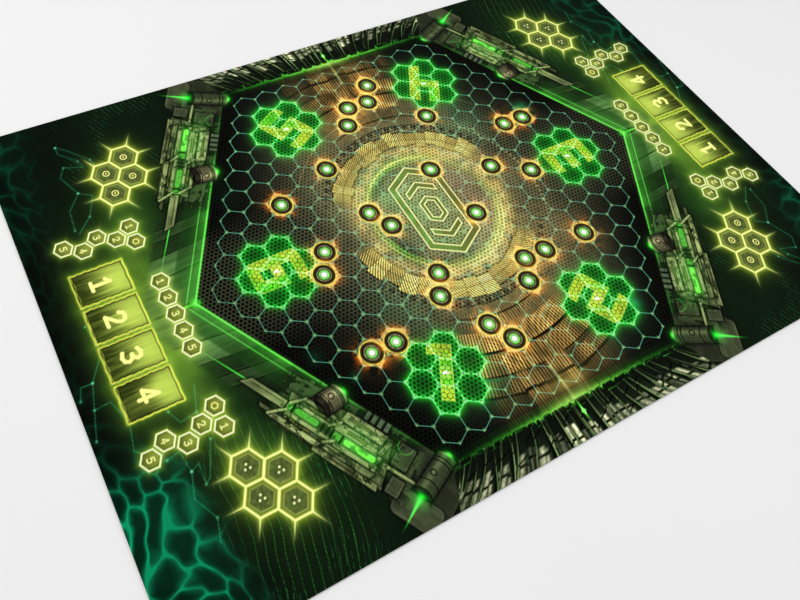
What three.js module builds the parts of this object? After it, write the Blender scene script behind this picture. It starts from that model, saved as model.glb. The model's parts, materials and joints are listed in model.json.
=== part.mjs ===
// A tabletop gaming mat: printed textile laminated to a foamed rubber base.
//
// Millimetres, +Z up. X runs along the mat's long side and Y along its short side.
// The origin is the middle of the underside, so the mat lies on the plane Z = 0.
// Three layers are bonded face to face and cut to one outline:
//   rubber_base   foamed rubber that grips the table
//   bonding_film  hot-melt adhesive between rubber and textile
//   printed_face  knitted polyester that carries the print

import * as THREE from 'three';

// Driving dimensions
const MAT_LENGTH = 914.4;
const MAT_WIDTH = 609.6;
const CORNER_RADIUS = 5;
const CORNER_SEGMENTS = 6;
const RUBBER_THICKNESS = 1.5;
const FILM_THICKNESS = 0.125;
const FACE_THICKNESS = 0.375;

const RIGHT_ANGLE = Math.PI / 2;

// The cut outline: a rectangle with a quarter circle at each corner, drawn anticlockwise.
function matOutline() {
  const reachX = MAT_LENGTH / 2 - CORNER_RADIUS;
  const reachY = MAT_WIDTH / 2 - CORNER_RADIUS;
  const cornerCentres = [
    [reachX, reachY],
    [-reachX, reachY],
    [-reachX, -reachY],
    [reachX, -reachY],
  ];
  const outline = new THREE.Shape();
  cornerCentres.forEach(([x, y], quarter) => {
    const start = quarter * RIGHT_ANGLE;
    outline.absarc(x, y, CORNER_RADIUS, start, start + RIGHT_ANGLE, false);
  });
  outline.closePath();
  return outline;
}

// One layer of the laminate, with its lower face at height bottom.
function layer(name, bottom, thickness, finish) {
  const geometry = new THREE.ExtrudeGeometry(matOutline(), {
    depth: thickness,
    bevelEnabled: false,
    curveSegments: CORNER_SEGMENTS,
  });
  const mesh = new THREE.Mesh(geometry, new THREE.MeshStandardMaterial(finish));
  mesh.name = name;
  mesh.position.z = bottom;
  return mesh;
}

const mat = new THREE.Group();
mat.name = 'gaming_mat';

mat.add(layer('rubber_base', 0, RUBBER_THICKNESS, {
  color: 0x161715,
  roughness: 0.92,
  metalness: 0,
}));

mat.add(layer('bonding_film', RUBBER_THICKNESS, FILM_THICKNESS, {
  color: 0x4c4a40,
  roughness: 0.5,
  metalness: 0,
}));

mat.add(layer('printed_face', RUBBER_THICKNESS + FILM_THICKNESS, FACE_THICKNESS, {
  color: 0x1c3a12,
  roughness: 0.85,
  metalness: 0,
}));

export default mat;
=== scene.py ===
"""A rubber-backed gaming mat: a dyed cloth face with a printed arena, bonded to foamed rubber.

The print is painted in shapes on a grid of points about a millimetre apart. Its unit is one cell
of the arena's hexagonal grid. Colours are display colours from 0 to 255 until the mesh stores them.
"""
import json
import math

import bpy
import numpy as np
from mathutils import Matrix, Vector

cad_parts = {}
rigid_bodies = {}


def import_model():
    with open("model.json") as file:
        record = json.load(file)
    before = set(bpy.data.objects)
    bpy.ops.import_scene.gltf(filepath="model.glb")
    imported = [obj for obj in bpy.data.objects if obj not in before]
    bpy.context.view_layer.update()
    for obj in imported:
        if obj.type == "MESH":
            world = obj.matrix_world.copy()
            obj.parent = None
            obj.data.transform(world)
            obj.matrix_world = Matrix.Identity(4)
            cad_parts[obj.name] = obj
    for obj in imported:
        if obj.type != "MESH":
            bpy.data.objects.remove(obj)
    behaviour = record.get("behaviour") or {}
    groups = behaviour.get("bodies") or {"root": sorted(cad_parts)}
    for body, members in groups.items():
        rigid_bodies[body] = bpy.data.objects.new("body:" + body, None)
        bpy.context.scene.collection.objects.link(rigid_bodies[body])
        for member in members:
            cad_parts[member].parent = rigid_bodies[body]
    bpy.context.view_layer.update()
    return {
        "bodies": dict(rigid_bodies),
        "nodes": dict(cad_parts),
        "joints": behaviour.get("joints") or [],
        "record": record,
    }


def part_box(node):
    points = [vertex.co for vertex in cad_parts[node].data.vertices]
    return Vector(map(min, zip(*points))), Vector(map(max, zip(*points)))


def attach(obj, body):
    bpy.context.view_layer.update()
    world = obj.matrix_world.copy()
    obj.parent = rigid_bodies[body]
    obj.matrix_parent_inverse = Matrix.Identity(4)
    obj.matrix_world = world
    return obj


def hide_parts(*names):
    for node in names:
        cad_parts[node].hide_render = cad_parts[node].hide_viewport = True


CELL = 0.030           # a cell across its flats, in metres
ROW = math.sqrt(3) / 2   # from one row of cells to the next, in cells
DOT = 1 / 30           # one millimetre, in cells

FIELD_REACH = 10.22    # centre of the field to its six corners
GRID_RINGS = 9         # rings of cells round the middle one
GRID_SHRINK = 0.9965   # the drawn grid against the lattice of the discs
FLOWER_REACH = 7       # centre of the field to the middle of each group of lit cells
# where the fine mesh, the grid, the discs and the lit cells are
MARKS = ("comb", "grid", "token", "flower")

# ---- canvas ----


def tint(*rgb):
    """Display colours as numbers from 0 to 1."""
    return np.asarray(rgb, np.float32) / 255


class Canvas:
    """The print as rows of display colours, with its x and y in cells."""

    def __init__(self, xs, ys):
        self.xs, self.ys = xs, ys
        self.rgb = np.zeros((len(ys), len(xs), 3), np.float32)
        self.marks = {k: np.zeros((len(ys), len(xs)), np.float32) for k in MARKS}

    def patch(self, centre=(0.0, 0.0), reach=40.0, turn=0.0, mirror=(1, 1)):
        return Patch(self, centre, reach, turn, mirror)


class Patch:
    """A square window of the canvas, with its own turned and mirrored axes u and v."""

    def __init__(self, canvas, centre, reach, turn, mirror):
        mx, my = mirror
        wide, tall = (reach, reach) if np.isscalar(reach) else reach
        cx, cy = centre[0] * mx, centre[1] * my
        i = slice(*np.searchsorted(canvas.xs, (cx - wide, cx + wide)))
        j = slice(*np.searchsorted(canvas.ys, (cy - tall, cy + tall)))
        self.rgb = canvas.rgb[j, i]
        self.marks = {k: m[j, i] for k, m in canvas.marks.items()}
        x = (canvas.xs[i][None, :] * mx - centre[0]).astype(np.float32)
        y = (canvas.ys[j][:, None] * my - centre[1]).astype(np.float32)
        c, s = math.cos(turn), math.sin(turn)
        self.u = x * c + y * s
        self.v = y * c - x * s

    def lay(self, mask, colour):
        """Opaque ink where mask is 1."""
        m = mask[..., None]
        self.rgb *= 1 - m
        self.rgb += m * tint(*colour)

    def shine(self, mask, colour):
        """Light added as a screen."""
        m = np.clip(mask[..., None] * tint(*colour), 0, 1)
        self.rgb[...] = 1 - (1 - self.rgb) * (1 - m)

    def shade(self, mask):
        """Ink darkened to black where mask is 1."""
        self.rgb *= 1 - mask[..., None]

    def grain(self, pitch, seed):
        return noise(self.u, self.v, pitch, seed)

    def thin(self, name, mask):
        """A mark taken away where mask is 1."""
        self.marks[name] *= 1 - mask

    def mark(self, name, mask):
        self.marks[name][...] = np.maximum(self.marks[name], mask)


# ---- shapes ----


def fill(distance, soft=DOT):
    """1 where the distance is below zero, with a soft edge."""
    return np.clip(0.5 - distance / soft, 0, 1)


def line(distance, width, soft=DOT):
    return fill(np.abs(distance) - width / 2, soft)


def halo(distance, width):
    """1 inside a shape, fading outwards."""
    return np.exp(-np.maximum(distance, 0) / width)


def glow(distance, width):
    return np.exp(-np.abs(distance) / width)


def lit_side(value, steep, width):
    """Fades slowly below zero and steep times as fast above it."""
    return np.exp(-np.maximum(-value, steep * value) / width)


def bell(value, width):
    return np.exp(-((value / width) ** 2))


def step(low, high, value):
    """0 at low, 1 at high, smooth between."""
    t = np.clip((value - low) / (high - low), 0, 1)
    return t * t * (3 - 2 * t)


def window(value, rise, full, fall, end):
    """0 outside rise and end, 1 between full and fall."""
    return step(rise, full, value) * step(end, fall, value)


def from_line(value, pitch=1.0):
    """Distance from the nearest of the lines pitch apart, as a share of the pitch."""
    return np.abs(value / pitch - np.round(value / pitch))


def facing(angle, way):
    """Degrees from way, from -180 to 180."""
    return (angle - way + 180) % 360 - 180


def box(u, v, half_u, half_v, radius=0.0):
    """Signed distance to a rounded rectangle."""
    du = np.abs(u) - half_u + radius
    dv = np.abs(v) - half_v + radius
    return np.hypot(np.maximum(du, 0), np.maximum(dv, 0)) + np.minimum(np.maximum(du, dv), 0) - radius


def hexagon(u, v, apothem):
    """Signed distance to a hexagon with corners on the v axis."""
    return np.maximum(np.abs(u), np.abs(u) / 2 + np.abs(v) * ROW) - apothem


def thread(u, v, points):
    """Distance to a chain of straight pieces."""
    best = None
    for (au, av), (bu, bv) in zip(points, points[1:]):
        du, dv = bu - au, bv - av
        t = np.clip(((u - au) * du + (v - av) * dv) / (du * du + dv * dv), 0, 1)
        d = np.hypot(u - au - t * du, v - av - t * dv)
        best = d if best is None else np.minimum(best, d)
    return best


def lattice(x, y):
    """Offset of each point from the nearest cell's middle."""
    ax = x - np.round(x)
    ay = y - np.round(y / (2 * ROW)) * 2 * ROW
    bx = x - np.floor(x) - 0.5
    by = y - (np.floor(y / (2 * ROW)) + 0.5) * 2 * ROW
    near = ax * ax + ay * ay < bx * bx + by * by
    return np.where(near, ax, bx), np.where(near, ay, by)


TABLE_U, TABLE_V = 61, 67      # random numbers each way before the noise repeats


def random_field(rng, u, v, pitch):
    """Smooth noise from 0 to 1 with features about pitch wide."""
    table = rng.random((TABLE_V, TABLE_U)).astype(np.float32)
    gu, gv = u / pitch + 1000.0, v / pitch + 1000.0
    iu, iv = np.floor(gu).astype(int), np.floor(gv).astype(int)
    fu, fv = gu - iu, gv - iv
    fu, fv = fu * fu * (3 - 2 * fu), fv * fv * (3 - 2 * fv)

    def t(a, b):
        return table[(iv + b) % TABLE_V, (iu + a) % TABLE_U]

    return (t(0, 0) * (1 - fu) + t(1, 0) * fu) * (1 - fv) + (t(0, 1) * (1 - fu) + t(1, 1) * fu) * fv


OCTAVES = 3


def noise(u, v, pitch, seed):
    """Layered smooth noise from 0 to 1, the same for the same seed."""
    u, v = np.broadcast_arrays(u, v)
    rng = np.random.default_rng(seed)
    total, weight, norm = 0.0, 1.0, 0.0
    for k in range(OCTAVES):
        total = total + weight * random_field(rng, u, v, pitch / 2**k)
        norm += weight
        weight /= 2
    return total / norm


HASHES = 509                   # random numbers before they repeat


def hashed(index, seed):
    """A steady random number from 0 to 1 for each whole number."""
    table = np.random.default_rng(seed).random(HASHES).astype(np.float32)
    return table[index.astype(int) % HASHES]


STATION = (0.15, -0.07)        # the two stations are each other turned half round about this point

# The discs' cells, counted along the grid's rows and its 60 degree slant.
TOKENS = ((5, -8), (4, -7), (3, -7), (2, -6), (5, -5), (7, -3), (8, -3), (-1, -4), (2, -2), (4, -1), (5, 0),
          (-4, -3), (-2, -1), (-2, 0), (1, 1), (3, 4), (1, 4), (0, 4), (-1, 5), (-3, 3), (-4, 4), (-4, 6),
          (-4, 7), (-5, 0), (-6, 1), (-8, 5), (-7, 5))

# Strokes of each digit in a box one high, from its bottom left.
DIGITS = {
    1: [[(0.12, 0.78), (0.34, 0.97), (0.34, 0.03)], [(0.1, 0.03), (0.58, 0.03)]],
    2: [[(0.04, 0.74), (0.12, 0.92), (0.32, 0.97), (0.52, 0.9), (0.58, 0.72), (0.5, 0.52), (0.06, 0.04),
         (0.62, 0.04)]],
    3: [[(0.06, 0.86), (0.28, 0.97), (0.5, 0.9), (0.56, 0.74), (0.46, 0.58), (0.26, 0.53), (0.48, 0.48),
         (0.6, 0.3), (0.52, 0.1), (0.3, 0.03), (0.05, 0.12)]],
    4: [[(0.44, 0.0), (0.44, 0.97), (0.03, 0.28), (0.62, 0.28)]],
    5: [[(0.56, 0.96), (0.12, 0.96), (0.09, 0.56), (0.34, 0.62), (0.55, 0.5), (0.6, 0.28), (0.48, 0.08),
         (0.26, 0.03), (0.04, 0.1)]],
    6: [[(0.5, 0.95), (0.26, 0.86), (0.1, 0.6), (0.06, 0.3), (0.16, 0.1), (0.36, 0.03), (0.56, 0.14),
         (0.6, 0.34), (0.48, 0.52), (0.28, 0.54), (0.1, 0.4)]],
}

# Square digits, three wide and five high.
BLOCKS = {
    1: "110010010010010",
    2: "111001111100111",
    3: "111001111001111",
    4: "101101111001001",
    5: "111100111001111",
    6: "111100111101111",
}


def numeral(u, v, digit, height):
    """Distance from the middle of the digit's strokes, the digit being centred on the origin."""
    strokes = DIGITS[digit]
    d = [thread(u, v, [((a - 0.32) * height, (b - 0.5) * height) for a, b in s]) for s in strokes]
    return np.minimum.reduce(d)


def blob(u, v, across, along):
    return np.exp(-((u / across) ** 2) - (v / along) ** 2)


# ---- ground ----


# Soft light behind a station: its middle, its reach both ways and its colour.
GLOWS = ((-12.2, 0, 1.7, 4.2, (36, 56, 14)), (-11.6, 0, 0.6, 3.2, (58, 84, 18)),
         (-10.4, 0, 1.0, 3.0, (24, 66, 18)), (-10.9, 4.2, 1.5, 1.2, (22, 44, 12)),
         (-10.6, -5.6, 1.8, 3.0, (10, 22, 7)), (-13.6, -1.0, 0.5, 4.6, (3, 9, 2)))


def ground(c):
    """Dark green cloth, lit behind the stations."""
    p = c.patch()
    x, y = p.u, p.v
    grain = noise(x, y, 1.4, 11)
    p.lay(np.ones_like(grain), (5, 14, 7))
    p.shine(step(13.0, 10.0, np.abs(x)) * (0.4 + grain), (5, 10, 3))
    for turn in (1, -1):
        sx, sy = (x - STATION[0]) * turn, (y - STATION[1]) * turn
        soft = 0.7 + 0.6 * grain
        for mu, mv, across, along, colour in GLOWS:
            p.shine(blob(sx - mu, sy - mv, across, along) * soft, colour)
        p.shade(step(-14.2, -15.2, sx) * 0.6)
    teal_cells(p, x, y)


def teal_cells(p, x, y):
    """Soft teal cells that fade in towards the corners."""
    wu = x + 2.2 * (noise(x, y, 1.9, 21) - 0.5)
    wv = y + 2.2 * (noise(x, y, 1.9, 22) - 0.5)
    hu, hv = lattice((wu + 0.3 * wv) / 0.85, (wv - 0.3 * wu) / 1.25)
    edge = 0.5 + hexagon(hu, hv, 0.5)          # 0 in the middle of a cell, 0.5 on its edge
    web = step(0.1, 0.55, edge) ** 2
    cloud = noise(x, y, 2.4, 23)
    for mx, my, gain in ((-1, -1, 0.9), (-1, 1, 0.25), (1, 1, 0.35), (1, -1, 0.4)):
        wide = 12.1 if mx == my else 13.1
        mask = step(wide, wide + 1.6, x * mx + 0.12 * (y * my - 6)) * step(3.2, 6.0, y * my) * gain
        p.shade(mask * 0.6)
        node = step(0.5, 0.66, np.hypot(hu, hv) * 1.15)
        light = np.clip(0.1 + 0.3 * cloud + web * (0.1 + 0.8 * cloud) + 0.5 * node, 0, 1)
        p.shine(mask * light, (4, 130, 84))
        p.shine(mask * bell(edge - 0.5, 0.12) * cloud * 0.15, (30, 170, 120))
    p.shine(step(13.7, 15.2, np.abs(x)) * 0.5 * web * cloud, (5, 70, 40))


# Jointed veins of one station, in its own axes.
VEINS = (
    ((-12.65, 8.8), (-12.65, 8.45), (-12.07, 7.8), (-11.95, 7.45), (-12.67, 7.7), (-12.93, 7.25),
     (-12.55, 6.3), (-13.1, 5.6), (-13.2, 4.7)),
    ((-12.55, 6.3), (-12.08, 6.0), (-12.5, 5.1), (-13.1, 4.5)),
    ((-12.65, 8.8), (-12.3, 8.5), (-11.6, 7.7), (-11.5, 7.4)),
    ((-14.15, 0.8), (-13.97, -0.3), (-14.6, -1.25), (-14.85, -2.15), (-15.13, -3.15)),
    ((-14.6, -1.25), (-15.0, -1.25), (-15.15, -1.7)),
    ((-14.85, -2.15), (-14.3, -2.1), (-14.0, -3.0), (-14.2, -3.95), (-13.9, -4.2)),
    ((-12.77, -3.2), (-12.55, -3.7), (-11.95, -3.6), (-11.65, -2.7)),
    ((-13.4, -4.65), (-12.95, -4.55), (-12.85, -5.3), (-12.55, -5.15), (-12.6, -5.85), (-12.4, -5.7),
     (-11.9, -4.6)),
    ((-12.85, -5.3), (-13.1, -6.1), (-12.7, -6.9), (-12.9, -7.6)),
)


def wires(c):
    """A warped net of fine wires round each station, and jointed teal veins."""
    p = c.patch()
    x, y = p.u, p.v
    for turn in (1, -1):
        sx, sy = (x - STATION[0]) * turn, (y - STATION[1]) * turn
        bend = sx + 0.02 * sy * sy + 0.3 * np.sin(sy * 0.8)
        across = sy + 0.25 * np.sin(sx * 1.3) + 0.06 * sx * sx
        inside = window(sx, -13.4, -12.2, -8.6, -7.6)
        patchy = step(0.42, 0.66, noise(sx, sy, 1.1, 31)) * (0.3 + 0.45 * step(4.0, 6.0, np.abs(sy)))
        dash = step(0.35, 0.55, noise(sx * 5, sy, 0.28, 32))
        for value, pitch, gain in ((bend, 0.2, 1.0), (across, 0.31, 0.3)):
            stripes = from_line(value, pitch) * pitch
            p.shine(line(stripes, 0.024, 0.03) * inside * patchy * gain * dash, (24, 62, 32))
        flow = (sx + 0.016 * (sy + 3) ** 2 + 0.9 * (noise(sx, sy, 3.5, 33) - 0.5)) / 0.3
        strand = from_line(flow) * 0.3
        near = step(-3.6, -5.0, sy) * window(sx, -12.8, -11.8, -9.4, -8.0)
        p.shine(line(strand, 0.02, 0.03) * near * noise(sx, sy, 0.9, 34), (26, 90, 24))
    for turn in (0.0, math.pi):
        q = c.patch(centre=STATION, turn=turn)
        for chain in VEINS:
            d = thread(q.u, q.v, chain)
            q.shine(np.maximum(line(d, 0.022, 0.035), 0.3 * halo(d, 0.05)), (18, 80, 52))
            for a, b in chain[::2]:
                q.shine(blob(q.u - a, q.v - b, 0.05, 0.05) * 0.5, (70, 170, 110))


# ---- field ----


# Soft teal lights in the field: their middle, size and brightness.
TEAL_LIGHTS = ((-2.2, -6.8, 0.9, 0.7), (-7.5, -3.7, 0.3, 1.0), (-6.5, -4.9, 0.2, 0.9), (6.8, 3.0, 0.4, 1.0),
               (-7.6, 4.0, 0.5, 0.7), (3.6, 3.4, 1.2, 0.35), (-3.4, -3.2, 1.2, 0.3), (4.6, -6.9, 0.4, 0.8),
               (-1.6, 2.0, 1.2, 0.35), (-1.9, -1.6, 0.8, 0.4), (0.4, -3.0, 1.3, 0.3))


def field(c):
    """The hexagonal arena: a worn golden middle that darkens outwards, and all that is drawn on it."""
    p = c.patch(reach=(10.6, 9.2))
    x, y = p.u, p.v
    r = np.hypot(x, y)
    a = np.degrees(np.arctan2(y, x))
    edge = hexagon(y, x, FIELD_REACH * ROW)            # corners on the x axis
    inside = fill(edge)
    middle, far = tint((128, 124, 82), (8, 13, 11))
    tone = middle + (far - middle) * step(0.8, 10.4, r).astype(np.float32)[..., None]
    side = 1 - 0.5 * step(3.0, 6.5, np.abs(x) + 0.2 * y * np.sign(x)) - 0.25 * step(-3.0, -5.5, x)
    tone *= (side * (0.5 + 0.6 * p.grain(1.3, 41) + 0.4 * p.grain(0.22, 40)))[..., None]
    p.rgb[...] = p.rgb * (1 - inside[..., None]) + tone * inside[..., None]

    warm = blob(x + 0.1, y - 6.4, 1.4, 2.4) * 0.8 + blob(x - 0.2, y + 6.2, 1.7, 2.2) * 0.9
    warm += blob(x - 3.2, y + 2.8, 2.2, 1.9) * 0.5 + blob(x + 2.4, y - 4.2, 1.6, 1.4) * 0.3
    p.shine(inside * warm * (0.3 + p.grain(0.5, 42)), (100, 62, 18))
    smoke = inside * (0.4 + p.grain(0.3, 43))
    for cu, cv, size, gain in TEAL_LIGHTS:
        p.shine(smoke * blob(x - cu, y - cv, size, size) * gain, (10, 120, 60))

    outer = 0.06 + 0.6 * step(3.0, 1.2, np.abs(y))
    p.marks["comb"][...] = inside * (outer + (1 - outer) * step(7.6, 4.6, r)) * step(9.0, 8.4, np.abs(y))
    cu, cv = lattice(x * GRID_SHRINK, y * GRID_SHRINK)
    row = np.abs(y * GRID_SHRINK - cv) / ROW
    whole = np.maximum(row, np.abs(x * GRID_SHRINK - cu) + row / 2) < GRID_RINGS + 0.1
    p.marks["grid"][...] = whole * (0.75 + 0.5 * (p.grain(1.0, 44) - 0.5))
    arcs(p, y, r, a, inside)
    blocks(p, x, y, inside)
    rosette(p, x, y, r, a)
    emblem(p, x, y)
    # the field darkens towards its rim
    p.shade(inside * step(-1.5, -0.2, edge) * 0.8 * step(2.2, 5.0, np.abs(x)))
    p.shade(inside * step(-0.7, 0.0, edge) * 0.6)


def ticks(a, count, soft=0.12):
    """Fine radial lines, count to the full circle."""
    turn = a / 360 * count
    return step(0.22 - soft, 0.22 + soft, from_line(turn))


def arcs(p, y, r, a, inside):
    """Bands of fine radial ticks above and below the middle."""
    up, down = (a + 360) % 360, (-a + 360) % 360
    fade_up = window(up, 56, 82, 98, 124)
    fade_down = window(down, 50, 80, 100, 128)
    lit_part = fade_up + fade_down
    for start, stop, count, gain in ((4.7, 5.45, 280, 0.5), (5.5, 6.4, 330, 0.95), (6.45, 7.35, 360, 1.0),
                                     (7.4, 8.05, 400, 0.6)):
        jag = hashed(np.floor(a / 360 * count / 6) + 200, int(start * 100))
        band = step(start - 0.04, start + 0.04, r - 0.08 * jag)
        band *= step(stop + 0.04, stop - 0.04, r + 0.08 * jag)
        lit = lit_part * band * gain * inside
        p.shade(lit * 0.75)
        p.thin("comb", 0.85 * lit_part * fill(np.abs(r - (start + stop) / 2) - 0.55, 0.1))
        shade = (0.45 + 0.6 * jag) * (0.3 + p.grain(0.5, 45))
        p.shine(lit * (0.1 + ticks(a, count, 0.08)) * shade * (0.86 - 0.018 * y), (255, 200, 98))
    for radius, width, gain in ((4.98, 0.07, 0.7), (6.38, 0.1, 0.9), (7.28, 0.07, 0.7), (8.02, 0.1, 0.8),
                                (4.45, 0.08, 0.6)):
        p.shade(line(r - radius, width, 0.05) * gain * np.maximum(fade_up, fade_down) * inside)
    for radius, start, stop in ((6.36, 36, 78), (7.28, 60, 116), (5.45, 92, 152), (4.9, 20, 60)):
        p.shine(line(r - radius, 0.03) * window(up, start, start + 8, stop - 8, stop) * 0.4, (180, 150, 80))
    # broken dark and light ticks just outside the pale ring
    above, below = (window(way, 15, 40, 145, 165) for way in (up, down))
    ring = line(r - 4.34, 0.2, 0.04) * np.maximum(above, below)
    p.shade(ring * 0.75 * ticks(a, 66))
    p.shine(ring * ticks(a, 160) * 0.2, (170, 170, 110))
    right = line(r - 4.75, 0.16, 0.05) * window(a, -40, -10, 35, 60)
    p.shine(right * ticks(a, 130) * 0.5, (150, 150, 90))


def blocks(p, x, y, inside):
    """Ribbed blocks in line with the middle, at the top and bottom of the field."""
    rib = step(0.1, 0.34, from_line(x, 0.12))
    for s in (1, -1):
        v = y * s
        tall = hashed(np.floor(x / 0.45) + 60, 51 + s)
        zone = step(1.6, 1.25, np.abs(x)) * step(7.2, 7.45, v + 0.2 * tall) * step(8.85, 8.7, v) * inside
        p.shade(zone * 0.6)
        p.thin("comb", 0.85 * step(3.3, 2.6, np.abs(x)) * step(7.0, 7.4, v))
        core = 1 - 0.7 * step(0.55, 0.35, np.abs(x)) * step(7.5, 7.8, v)
        light = (0.3 + 0.7 * rib) * (0.3 + 0.8 * tall) * (0.5 + 0.5 * step(8.8, 7.6, v))
        p.shine(zone * core * light, (132, 102, 50))
        p.shade(zone * line(v - 7.98 + 0.15 * tall, 0.12, 0.05) * 0.85)
        side = window(np.abs(x), 1.4, 1.7, 2.2, 3.3) * window(v, 7.5, 7.8, 8.6, 8.8)
        p.shine(side * inside * (0.2 + 0.8 * rib) * (0.2 + 0.4 * tall), (112, 76, 28))
        p.shine(bell(x - 0.05, 0.06) * window(v, 6.6, 8.4, 8.8, 8.9) * 0.6, (190, 190, 90))
        p.shine(blob(x - 0.2, v - 8.3, 1.1, 0.5) * (0.5 if s > 0 else 0.9), (126, 110, 46))


def rosette(p, x, y, r, a):
    """The pale segmented ring and the bright circle inside it."""
    up, down = (a + 360) % 360, (-a + 360) % 360
    top = window(up, 22, 34, 146, 160)
    base = window(down, 34, 50, 166, 176)
    for mask, slant, seg in ((top, 14, 52), (base, -10, 38)):
        turn = a / 360 * seg
        tile_ = np.floor(turn)
        jag = hashed(tile_ + 100, 61 + seg)
        outer = 3.95 + 0.25 * jag
        inner = 3.22 + 0.22 * hashed(tile_ * 3 + 100, 62)
        band = step(inner - 0.03, inner + 0.03, r) * step(outer + 0.03, outer - 0.03, r) * mask
        rows = step(0.08, 0.26, from_line(r, 0.105))
        gap = step(0.0, 0.06, from_line(turn))
        course = step(0.0, 0.05, np.abs(r - 3.62 - 0.08 * jag))
        bright = 0.92 * ticks(a + slant * r, 210, 0.08) + 0.1 * rows
        bright = bright * (0.4 + 0.6 * gap) * (0.6 + 0.4 * course)
        p.shade(line(r - outer, 0.14, 0.06) * mask * 0.6)
        p.shade(line(r - inner, 0.12, 0.06) * mask * 0.5)
        p.lay(band * 0.92, (78, 66, 28))
        p.shine(band * bright * (0.55 + 0.6 * jag) * (0.5 + 0.7 * p.grain(0.5, 70)), (250, 222, 108))
        p.thin("comb", 0.75 * band)
        p.thin("grid", 0.4 * band)
    # soft gold between the ring and the circle, and brown inside the circle
    p.shine(bell(r - 3.0, 0.4) * step(0.15, 0.7, p.grain(0.4, 63)), (190, 146, 44))
    p.shine(bell(r - 2.7, 0.4) * bell(facing(a, 90), 60) * 0.7, (80, 110, 20))
    p.shine(blob(x + 1.3, y - 0.9, 1.2, 1.5) * p.grain(0.6, 66), (10, 120, 40))
    p.shine(blob(x - 1.6, y + 0.3, 0.9, 1.4) * p.grain(0.6, 48), (96, 50, 50))
    p.shade(blob(x + 2.1, y + 1.3, 0.5, 0.8) * 0.5)
    for radius, gain in ((2.94, 0.5), (3.12, 0.6), (2.2, 0.25), (2.42, 0.3)):
        p.shine(line(r - radius, 0.025) * gain * (0.3 + 0.7 * p.grain(0.6, 67)), (240, 214, 120))
    p.shade(bell(r - 2.45, 0.25) * 0.35 * step(-0.6, 1.2, -x))
    # bright circle
    brush = 0.65 + 0.7 * noise(a / 9 + 40, r * 2, 1.0, 64)
    near_top = bell(facing(a, 105), 50)
    low_right = bell(facing(a, -55), 52)
    left = bell(facing(a, 205), 36)
    p.shine(bell(r - 2.68, 0.24) * 0.8 * low_right * (0.4 + 0.8 * p.grain(0.4, 65)), (150, 200, 30))
    p.shine(bell(r - 2.6, 0.2) * 0.7 * (near_top + 0.7 * left) * brush, (60, 170, 20))
    whole = np.clip(near_top + 0.8 * low_right + 0.5 * left, 0, 1)
    p.shine(bell(r - 2.66, 0.06) * brush * whole, (206, 255, 60))
    p.shine(bell(r - 2.84, 0.06) * brush * low_right, (224, 228, 80))
    p.shine(bell(r - 2.5, 0.035) * brush * np.clip(left + 0.6 * low_right, 0, 1) * 0.7, (100, 220, 60))


def emblem(p, x, y):
    """A plain long hexagon with a second one and two chevrons inside it."""
    frame = np.maximum(np.abs(x) - 1.2, np.abs(x) * 0.5 + np.abs(y) * ROW - 1.95)
    core = np.maximum(np.abs(x) - 0.42, np.abs(x) * 0.5 + np.abs(y) * ROW - 0.58)
    shapes = [np.abs(frame + 0.14) - 0.14, np.abs(core + 0.09) - 0.09]
    for s in (1, -1):
        chevron = np.abs(y * s + np.abs(x) * 0.58 - 1.3) * ROW - 0.12
        shapes.append(np.maximum(chevron, np.abs(x) - 0.66))
    d = np.minimum.reduce(shapes)
    solid = fill(d)
    p.thin("comb", 0.8 * fill(d - 0.04, 0.06))
    p.thin("grid", 0.7 * fill(d - 0.04, 0.06))
    p.shine(fill(frame) * 0.5 * (0.3 + p.grain(0.6, 68)), (60, 140, 40))
    p.shade(fill(d - 0.08, 0.08) * 0.35)
    p.lay(solid * 0.85, (98, 100, 44))
    p.shine(solid * step(0.9, -0.9, x) * p.grain(0.4, 69), (24, 130, 40))
    p.shine(line(d, 0.06, 0.035) * 0.95, (226, 224, 116))
    p.shine(glow(d, 0.06) * 0.3, (170, 190, 60))


BLUR = ((-2, 1), (-1, 4), (0, 6), (1, 4), (2, 1))      # steps to a neighbour and its weight
SHARPEN = 0.8


def crisp(c):
    """Sharpens the print by what a small blur would take away."""
    soft = c.rgb
    for axis in (0, 1):
        soft = sum(k * np.roll(soft, shift, axis) for shift, k in BLUR) / sum(k for _, k in BLUR)
    c.rgb = np.clip(c.rgb + SHARPEN * (c.rgb - soft), 0, 1)


# ---- frame round the field ----


QUARTER = (6.6, 5.1)       # half of a quarter of the print, in cells


class Part:
    """A quarter of the print in the sloping side's own axes, kept only where it belongs."""

    lay, shine, shade, grain = Patch.lay, Patch.shine, Patch.shade, Patch.grain

    def __init__(self, c, mirror):
        self.patch = c.patch(centre=QUARTER, reach=QUARTER, mirror=mirror)
        x, y = self.patch.u + QUARTER[0], self.patch.v + QUARTER[1]
        # u runs up the side from the field's corner, v away from the field
        self.u = (x - FIELD_REACH) * -0.5 + y * ROW
        self.v = x * ROW + y * 0.5 - FIELD_REACH * ROW
        self.x, self.y = x, y
        self.rgb = self.patch.rgb.copy()

    def finish(self):
        mine = ((self.x >= 0) & (self.y >= 0))[..., None]
        self.patch.rgb[...] = np.where(mine, self.rgb, self.patch.rgb)


def rim(c):
    """The lit frame of plates and blades round the field."""
    for k, mirror in enumerate(((1, 1), (-1, 1), (1, -1), (-1, -1))):
        q = Part(c, mirror)
        side_plates(q, k)
        machinery(q)
        q.finish()
    for s in (1, -1):
        blades(c, s)


# See-through plates beside the station: from and to across the mat, and brightness.
WINGS = ((0.2, 1.42, 0.7), (1.5, 2.3, 1.0), (2.34, 2.9, 0.25), (2.98, 3.4, 0.7), (3.46, 4.2, 0.3))


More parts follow.
